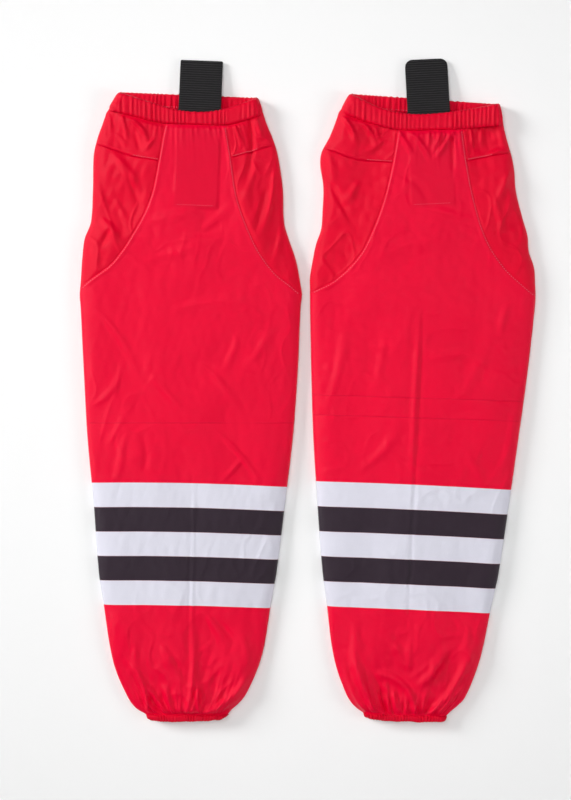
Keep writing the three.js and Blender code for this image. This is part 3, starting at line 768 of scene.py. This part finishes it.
def strap(sock, material):
    """One length of ribbed elastic webbing: sewn under the front panel, then out of the mouth as a tab."""
    bm, u, v = grid(26, 420)
    wide = STRAP_WIDTH * (to_edges(u, 0.8) - 0.5)
    corner = sock.shape["tab_corner"]
    from_side = np.clip(corner - (STRAP_WIDTH / 2 - np.abs(wide)), 0, corner)
    tip = TAB_LENGTH - corner + np.sqrt(np.maximum(corner**2 - from_side**2, 0))
    long = -ANCHOR_LENGTH + v * (tip + ANCHOR_LENGTH)
    x, y = sock.strap_point(wide, long)
    level = sock.hinge.z / MM - STRAP_DROP
    under_panel = sock.top_height(y) - FABRIC - STRAP_THICKNESS - 1.2
    z = level + (under_panel - level) * step(-22, -48, long)
    z = z - np.maximum(long, 0) * math.tan(math.radians(TAB_DROOP))
    rib = np.sin(math.tau * long / RIB_PITCH)
    selvedge = step(STRAP_WIDTH / 2 - 0.4, STRAP_WIDTH / 2 - 2, np.abs(wide))
    face = STRAP_THICKNESS / 2 + 0.16 * rib * selvedge - 0.25 * (1 - selvedge)
    points = sock.place(as_points(x, y, z + face))
    place = {"print_place": as_points(wide * MM, long * MM, 0 * wide)}
    piece = finish_piece(f"{sock.name}_strap_webbing", bm, points, material, place)
    give_thickness(piece, STRAP_THICKNESS - 0.1)
    turn = sock.strap_turn + sock.turn
    along = Vector((-math.sin(turn), math.cos(turn), 0)) * MM
    start, end = sock.hinge - along * 0.6, sock.hinge + along * 2
    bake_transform(piece, f"{sock.name}_sock", f"{sock.name}_strap", start=start, end=end)
    return piece


def stitches(sock, name, route, material, pitch=STITCH_PITCH, length=2.3, radius=0.3):
    """A row of short stitches lying on a route of (x, y, z)."""
    route = sock.place(route)
    gone = np.concatenate([[0], np.cumsum(np.linalg.norm(np.diff(route, axis=0), axis=1))])
    bm = bmesh.new()
    count = int(gone[-1] / (pitch * MM))
    for k in range(count):
        at = (k + 0.5) * pitch * MM
        here = Vector([np.interp(at, gone, route[:, n]) for n in range(3)])
        ahead = Vector([np.interp(at + 0.5 * MM, gone, route[:, n]) for n in range(3)])
        turn = (ahead - here).to_track_quat("X", "Z").to_matrix().to_4x4()
        size = Matrix.Diagonal((length / 2 * MM, radius * MM, radius * MM, 1))
        spot = Matrix.Translation(here + Vector((0, 0, STITCH_LIFT * MM)))
        bmesh.ops.create_uvsphere(bm, u_segments=6, v_segments=4, radius=1, matrix=spot @ turn @ size)
    points = [v.co.copy() for v in bm.verts]
    return finish_piece(f"{sock.name}_{name}", bm, points, material)


def tube(sock, name, route, radius, material):
    """A fine cord along a route of (x, y, z)."""
    line = bpy.data.curves.new(name, "CURVE")
    line.dimensions = "3D"
    spline = line.splines.new("POLY")
    at = sock.place(route)
    spline.points.add(len(at) - 1)
    spline.points.foreach_set("co", np.column_stack([at, np.ones(len(at))]).ravel())
    line.bevel_depth = radius * MM
    line.bevel_resolution = 2
    line.use_fill_caps = True
    made = bpy.data.objects.new(name, line)
    bpy.context.scene.collection.objects.link(made)
    bpy.context.view_layer.update()
    mesh = bpy.data.meshes.new_from_object(made)
    bpy.data.objects.remove(made)
    piece = bpy.data.objects.new(f"{sock.name}_{name}", mesh)
    bpy.context.scene.collection.objects.link(piece)
    mesh.materials.clear()
    mesh.materials.append(material)
    for face in mesh.polygons:
        face.use_smooth = True
    return piece


# ----------------------------------------------------------------------------------------------------
# Finishes

class Value:
    """A number that changes over a surface: arithmetic on it adds Math nodes."""

    def __init__(self, finish, socket):
        self.finish = finish
        self.socket = socket

    def math(self, operation, *parts):
        node = self.finish.node("Math", {"operation": operation}, dict(enumerate(parts)))
        return Value(self.finish, node.outputs[0])

    def __add__(self, other):
        return self.math("ADD", self, other)

    def __sub__(self, other):
        return self.math("SUBTRACT", self, other)

    def __rsub__(self, other):
        return self.math("SUBTRACT", other, self)

    def __mul__(self, other):
        return self.math("MULTIPLY", self, other)

    def __truediv__(self, other):
        return self.math("DIVIDE", self, other)

    __radd__ = __add__
    __rmul__ = __mul__

    def sine(self):
        return self.math("SINE", self)

    def clamped(self, low, high):
        """0 at low and 1 at high, with a smooth change between."""
        settings = {"interpolation_type": "SMOOTHSTEP", "clamp": True}
        node = self.finish.node("MapRange", settings, {0: self, 1: low, 2: high, 3: 0.0, 4: 1.0})
        return Value(self.finish, node.outputs[0])


class Finish:
    """A material, and the one way that its nodes are added."""

    def __init__(self, name, **constants):
        self.material = bpy.data.materials.new(name)
        self.material.use_nodes = True
        self.tree = self.material.node_tree
        self.shader = self.tree.nodes["Principled BSDF"]
        for key, value in constants.items():
            self.shader.inputs[key.replace("_", " ")].default_value = value

    def node(self, kind, settings, sockets):
        made = self.tree.nodes.new(f"ShaderNode{kind}")
        for key, value in settings.items():
            setattr(made, key, value)
        for key, value in sockets.items():
            self.feed(made.inputs[key], value)
        return made

    def feed(self, socket, value):
        value = getattr(value, "socket", value)
        if isinstance(value, bpy.types.NodeSocket):
            self.tree.links.new(value, socket)
        else:
            socket.default_value = value

    def place(self):
        """Across and along the cloth, in metres, and the third number that it carries."""
        read = self.node("Attribute", {"attribute_type": "GEOMETRY", "attribute_name": "print_place"}, {})
        parts = self.node("SeparateXYZ", {}, {0: read.outputs["Vector"]})
        return [Value(self, out) for out in parts.outputs]

    def number(self, name):
        read = self.node("Attribute", {"attribute_type": "GEOMETRY", "attribute_name": name}, {})
        return Value(self, read.outputs["Fac"])

    def noise(self, scale, detail=2.0, stretch=(1, 1, 1)):
        """Soft noise on the object's own coordinates, -1 to 1 or so."""
        at = self.node("TexCoord", {}, {}).outputs["Object"]
        moved = self.node("Mapping", {"vector_type": "POINT"}, {0: at, 3: stretch})
        sockets = {0: moved.outputs[0], "Scale": scale, "Detail": detail}
        read = self.node("TexNoise", {"noise_dimensions": "3D"}, sockets)
        return (Value(self, read.outputs[0]) - 0.5) * 2

    def mix(self, share, a, b):
        made = self.node("Mix", {"data_type": "RGBA"}, {0: share, 6: a, 7: b})
        return made.outputs[2]

    def shade(self, colour, amount):
        """A colour made lighter or darker by a value about 1."""
        start = colour[:3] if isinstance(colour, tuple) else colour
        return self.node("VectorMath", {"operation": "SCALE"}, {0: start, 3: amount}).outputs[0]

    def show(self, name, value):
        """Feeds one of the shader's own sockets."""
        self.feed(self.shader.inputs[name], value)

    def bump(self, height, distance):
        made = self.node("Bump", {}, {"Height": height, "Distance": distance, "Strength": 1.0})
        self.show("Normal", made.outputs[0])


RED = (0.84, 0.0005, 0.035, 1)
GUSSET_RED = (0.79, 0.0003, 0.027, 1)
# The waistband's and hem's red is darker than RED: painted shade for the gathered cloth.
SHADED_BAND_RED = (0.77, 0.0004, 0.026, 1)
ANCHOR_RED = (0.78, 0.0004, 0.032, 1)
WHITE = (0.74, 0.73, 0.825, 1)
BLACK = (0.036, 0.0235, 0.034, 1)
# Painted shade for the grooves between the webbing's ribs, and painted highlight for their crests.
WEBBING_GROOVE_SHADE = (0.009, 0.0085, 0.0092, 1)
WEBBING_CREST_HIGHLIGHT = (0.036, 0.034, 0.036, 1)
PALE_THREAD = (0.8, 0.2, 0.27, 1)
OVERLOCK_THREAD = (0.7, 0.05, 0.09, 1)
ELASTIC_WHITE = (0.75, 0.73, 0.7, 1)
HOOK_DARK = (0.012, 0.012, 0.013, 1)
HOOK_PALE = (0.06, 0.06, 0.065, 1)
FLOOR_WHITE = (0.97, 0.97, 0.97, 1)

# Threads, in metres
WALE = 0.0011
COURSE = 0.0009
WEBBING_YARN = 0.0009
FOLD_LINE = (0.0001, 0.0013)  # half the width of a fold line: full up to the first, gone at the second


def knit_loops(along, across):
    """The tiny loops of a warp knit, as a height from -1 to 1."""
    return (across * (math.tau / WALE)).sine() * (along * (math.tau / COURSE)).sine()


def printed_knit():
    """Smooth printed polyester knit with five printed stripes."""
    finish = Finish("printed_knit", Roughness=0.3, Specular_IOR_Level=0.13)
    across, up, pitch = finish.place()
    bands = (0 - up) / pitch
    print_blur = 0.012
    edge = [bands.clamped(k - print_blur, k + print_blur) for k in range(6)]
    white = edge[0] - edge[1] + edge[2] - edge[3] + edge[4] - edge[5]
    black = edge[1] - edge[2] + edge[3] - edge[4]
    mottle = finish.noise(22, 3.0) * 0.05
    grain = finish.noise(900, 1.0, (1, 0.5, 1)) * 0.035
    backing = finish.number("backing")
    fold = finish.number("fold_line")
    broken = finish.noise(16, 1.0).clamped(-0.65, 0.2)
    folded = (1 - fold.math("ABSOLUTE", fold).clamped(*FOLD_LINE)) * broken
    # Along the fold lines the red is painted about 10% darker: painted shade in the creases, beside the
    # bump's groove.
    red = finish.shade(finish.mix(backing, RED, ANCHOR_RED), mottle + grain - folded * 0.1 + 1.0)
    base = finish.mix(white, red, finish.shade(WHITE, grain * 0.5 + 1.0))
    base = finish.mix(black, base, finish.shade(BLACK, grain * 2 + 1.0))
    finish.show("Base Color", base)
    finish.show("Roughness", mottle * 0.6 + 0.3)
    finish.bump(knit_loops(up, across) + finish.noise(500, 2.0) * 1.5 - folded * 4, 0.00006)
    return finish.material


def red_knit():
    """The slightly glossier plain knit of the gussets and yokes."""
    finish = Finish("red_knit", Roughness=0.3, Specular_IOR_Level=0.13)
    across, up, _ = finish.place()
    mottle = finish.noise(30, 3.0) * 0.05
    grain = finish.noise(1000, 1.0) * 0.04
    finish.show("Base Color", finish.shade(GUSSET_RED, mottle + grain + 1.0))
    finish.show("Roughness", mottle + 0.3)
    finish.bump(knit_loops(up, across) + finish.noise(500, 2.0) * 1.5, 0.00007)
    return finish.material


def band_knit():
    """The same cloth where elastic gathers it, its red painted darker than the panels' as painted shade for
    the gathers.
    """
    finish = Finish("band_knit", Roughness=0.32, Specular_IOR_Level=0.11)
    across, up, _ = finish.place()
    mottle = finish.noise(120, 3.0) * 0.07
    finish.show("Base Color", finish.shade(SHADED_BAND_RED, mottle + 1.0))
    finish.show("Roughness", mottle + 0.32)
    finish.bump(knit_loops(up, across) + finish.noise(420, 3.0) * 2, 0.00008)
    return finish.material


def ribbed_webbing():
    """Black woven elastic with a rib across it, its colour painted darker in the grooves and paler on the rib
    crests: painted shade and painted highlight.
    """
    finish = Finish("ribbed_webbing", Roughness=0.7, Specular_IOR_Level=0.18)
    across, along, _ = finish.place()
    rib = (along * (math.tau / (RIB_PITCH * MM))).sine() * 0.5 + 0.5
    yarn = (across * (math.tau / WEBBING_YARN)).sine() * 0.5 + 0.5
    # The rib crests take the painted highlight and the grooves the painted shade, varied by the yarn and by
    # noise.
    share = rib.clamped(0.3, 1.0) * (yarn * 0.3 + 0.7) + finish.noise(400, 2.0) * 0.1
    finish.show("Base Color", finish.mix(share, WEBBING_GROOVE_SHADE, WEBBING_CREST_HIGHLIGHT))
    finish.bump(yarn * rib + finish.noise(900, 2.0) * 0.4, 0.00012)
    return finish.material


def plain_yarn(name, colour, roughness, specular, unevenness, depth, strands, height):
    """Thread or plain tape: one colour, a little uneven, with a fine rough surface."""
    finish = Finish(name, Roughness=roughness, Specular_IOR_Level=specular)
    finish.show("Base Color", finish.shade(colour, finish.noise(unevenness, 2.0) * depth + 1.0))
    finish.bump(finish.noise(strands, 2.0), height)
    return finish.material


def hook_tape():
    """Rough black hook tape."""
    finish = Finish("hook_tape", Roughness=0.45, Specular_IOR_Level=0.5)
    tone = finish.noise(1100, 1.0).clamped(-0.2, 0.5)
    finish.show("Base Color", finish.mix(tone, HOOK_DARK, HOOK_PALE))
    finish.bump(tone, 0.0006)
    return finish.material


# ----------------------------------------------------------------------------------------------------
# Sewing the socks together

# Cut sizes
FULLNESS = 1.04  # against the flat outline: crown, gathers and creases take up the rest
BAND_CUT = 41  # both walls of the waistband and its seam allowance
BAND_GATHER = 1.1
HEM_CUT = 19
HEM_GATHER = 1.2


def sew_on(sock, piece, slot, *nodes):
    """The piece moves with its sock and stands for these nodes; its slot is not used."""
    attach(piece, f"{sock.name}_sock")
    if nodes:
        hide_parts(*(f"{sock.name}_{node}" for node in nodes))


def lay_sheet(sock, piece, slot, node, across, along, cut_area):
    """Sews on a sheet that was cut to a size, in millimetres; its flat size and area are worked out but not
    used.
    """
    sew_on(sock, piece, slot, node)
    flat = (across * MM, along * MM)
    area = min(cut_area * MM * MM, 0.999 * flat[0] * flat[1])


def lay_panel(sock, cloth, slot, node):
    """Sews on a panel, whose cut size is its flat outline's and the fullness."""
    piece, x, y = cloth
    seen = sum(abs(face.normal.z) * face.area for face in piece.data.polygons) / MM**2
    across, along = np.ptp(x) * FULLNESS, np.ptp(y) * FULLNESS
    lay_sheet(sock, piece, slot, node, across, along, seen * FULLNESS)
    return [piece.name]


def make_sock(shape, finishes):
    """All the pieces of one sock."""
    sock = Sock(shape)
    front = front_panel(sock, finishes["printed"])
    back = lay_panel(sock, back_panel(sock, finishes["printed"]), "printed_knit", "back_panel")
    under_strap = lay_panel(sock, front, "printed_knit", "front_panel")
    for side in sock.sides:
        for make, kind in ((gusset, "gusset"), (yoke, "yoke")):
            lay_panel(sock, make(sock, side, finishes["plain"]), "red_knit", f"{side.label}_{kind}")

    left, right = shape["band_corners"][0]
    long = 2 * (right - left) * 1.02 * BAND_GATHER
    band = waistband(sock, finishes["band"])
    lay_sheet(sock, band, "red_knit", "waistband_casing", long, BAND_CUT, long * (BAND_CUT - 1))
    long = 2 * float(sock.right(6) - sock.left(6)) * HEM_GATHER
    hem = cuff_hem(sock, finishes["band"])
    lay_sheet(sock, hem, "red_knit", "cuff_hem", long, HEM_CUT, long * (HEM_CUT - 0.5))

    for name, ring, low, high, thickness in (
        ("waistband_elastic", band_ring, 0.24, 0.86, 1.2), ("cuff_elastic", hem_ring, 0.25, 0.7, 0.5),
    ):
        tape = elastic(sock, name, ring, low, high, thickness, finishes["elastic"])
        sew_on(sock, tape, "inner_elastic", name)

    webbing = strap(sock, finishes["webbing"])
    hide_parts(f"{sock.name}_strap_anchor", f"{sock.name}_strap_tab")
    sew_seams(sock, finishes)


def sew_seams(sock, finishes):
    """Topstitching where it shows, and the overlocked edges inside."""
    thread = finishes["thread"]
    rows = []
    for side in sock.sides:
        y = np.arange(side.foot_y + 2, float(sock.band_foot(side.seam(718))) - 1, 0.5)
        slope = side.seam(y + 0.5) - side.seam(y - 0.5)
        inset = side.inwards * TOPSTITCH_INSET
        x = side.seam(y) + inset / np.hypot(1, slope)
        route = sock.on_top(x, y - inset * slope / np.hypot(1, slope))
        rows.append(stitches(sock, f"{side.label}_gusset_topstitch", route, thread))
        seam_x = float(side.seam(680))
        x = np.linspace(seam_x - side.inwards * 2, seam_x - side.inwards * 34, 60)
        route = sock.on_top(x, side.yoke(x) + TOPSTITCH_INSET)
        rows.append(stitches(sock, f"{side.label}_yoke_topstitch", route, thread))
        for kind, route in overlock_routes(sock, side).items():
            cord = tube(sock, f"{side.label}_{kind}_overlock", route, OVERLOCK / 2, finishes["overlock"])
            sew_on(sock, cord, "overlock_thread", f"{side.label}_{kind}")
    wide = np.linspace(-STRAP_WIDTH / 2 + 2, STRAP_WIDTH / 2 - 2, 40)
    route = sock.on_top(*sock.strap_point(wide, 2.5 - ANCHOR_LENGTH))
    rows.append(stitches(sock, "anchor_stitch", route, thread, 3.4, 1.8, 0.25))
    left, right = sock.shape["band_corners"][0]
    x = np.linspace(left + 12, right - 12, 90)
    route = as_points(x, sock.back_top(x) - BAND_HEIGHT + 2.5, np.full(x.shape, BAND_WALL + 0.35))
    rows.append(stitches(sock, "waistband_stitch", route, thread, 3.0, 2.0, 0.32))
    for row in rows:
        sew_on(sock, row, "overlock_thread")


def overlock_routes(sock, side):
    """The lines that the overlocked edges follow, close under the upper layer."""
    drop = FABRIC + 0.95
    y = np.arange(side.foot_y + 12, 700, 4.0)
    gusset_route = sock.on_top(side.seam(y) + side.inwards * 1.2, y, drop)
    start, end = float(side.seam(676)) - side.inwards * 6, float(side.edge(690)) + side.inwards * 14
    x = np.linspace(start, end, 16)
    yoke_route = sock.on_top(x, side.yoke(x), drop)
    y = np.arange(22, 706, 6.0)
    side_route = as_points(side.edge(y) + side.inwards * 3.4, y, sock.side_height(y) + 0.2)
    return {"gusset_seam": gusset_route, "yoke_seam": yoke_route, "side_seam": side_route}


finishes = {
    "printed": printed_knit(),
    "plain": red_knit(),
    "band": band_knit(),
    "webbing": ribbed_webbing(),
    "thread": plain_yarn("pale_thread", PALE_THREAD, 0.6, 0.3, 700, 0.15, 2500, 0.00005),
    "overlock": plain_yarn("overlock_thread", OVERLOCK_THREAD, 0.75, 0.3, 600, 0.2, 1500, 0.0002),
    "elastic": plain_yarn("inner_elastic", ELASTIC_WHITE, 0.8, 0.25, 500, 0.12, 1200, 0.0002),
    "hook": hook_tape(),
}
for shape in (LEFT, RIGHT):
    make_sock(shape, finishes)
    patch_materials = frame["nodes"][f"{shape['name']}_hook_patch"].data.materials
    patch_materials.clear()
    patch_materials.append(finishes["hook"])


# ----------------------------------------------------------------------------------------------------
# Floor, light and camera

FLOOR_LEVEL = -0.0004
LENS = 85
SENSOR = 36
VIEW_HEIGHT = 0.960  # what the view takes in from top to bottom, in metres, at the cloth's level
VIEW_LEFT = 0.0266
VIEW_DOWN = 0.0111
CLOTH_LEVEL = 0.010


def make_floor():
    """A pale floor, a little below the cloth."""
    bm = bmesh.new()
    bmesh.ops.create_grid(bm, x_segments=1, y_segments=1, size=3)
    points = [Vector((v.co.x, v.co.y, FLOOR_LEVEL)) for v in bm.verts]
    paper = Finish("pale_floor", Roughness=0.9, Specular_IOR_Level=0.1, Base_Color=FLOOR_WHITE)
    finish_piece("floor", bm, points, paper.material)


def softbox(name, place, size, watts, spread=180):
    """A square lamp that points at the origin."""
    light = bpy.data.lights.new(name, "AREA")
    light.shape = "SQUARE"
    light.size = size
    light.energy = watts
    light.spread = math.radians(spread)
    lamp = bpy.data.objects.new(name, light)
    lamp.location = place
    lamp.rotation_euler = (-Vector(place)).to_track_quat("-Z", "Y").to_euler()
    bpy.context.scene.collection.objects.link(lamp)
    return lamp


def light_studio():
    """Soft light from above, with a little sheen and a stronger side."""
    world = bpy.data.worlds.new("studio")
    bpy.context.scene.world = world
    world.use_nodes = True
    background = world.node_tree.nodes["Background"]
    background.inputs["Color"].default_value = (1, 1, 1, 1)
    background.inputs["Strength"].default_value = 0.14
    overhead = softbox("overhead_softbox", (0, 0, 3.2), 1.2, 3.3, 50)
    overhead.visible_glossy = False
    softbox("sheen_softbox", (-0.9, 0.8, 3.0), 0.5, 18)
    softbox("left_softbox", (-4.0, 1.6, 1.9), 1.5, 160)
    softbox("right_softbox", (3.0, -0.6, 1.6), 1.0, 25)


def set_camera():
    """Straight above the pair, a little left of its middle and below it."""
    low, high = (Vector(corner) for corner in CAD_BOX)
    middle = (low + high) / 2
    camera = bpy.data.cameras.new("camera")
    camera.lens = LENS
    camera.sensor_width = SENSOR
    seat = bpy.data.objects.new("camera", camera)
    height = CLOTH_LEVEL + VIEW_HEIGHT * LENS / SENSOR
    seat.location = (middle.x - VIEW_LEFT, middle.y - VIEW_DOWN, height)
    bpy.context.scene.collection.objects.link(seat)
    bpy.context.scene.camera = seat


make_floor()
light_studio()
set_camera()
bpy.context.scene.view_settings.view_transform = "Standard"
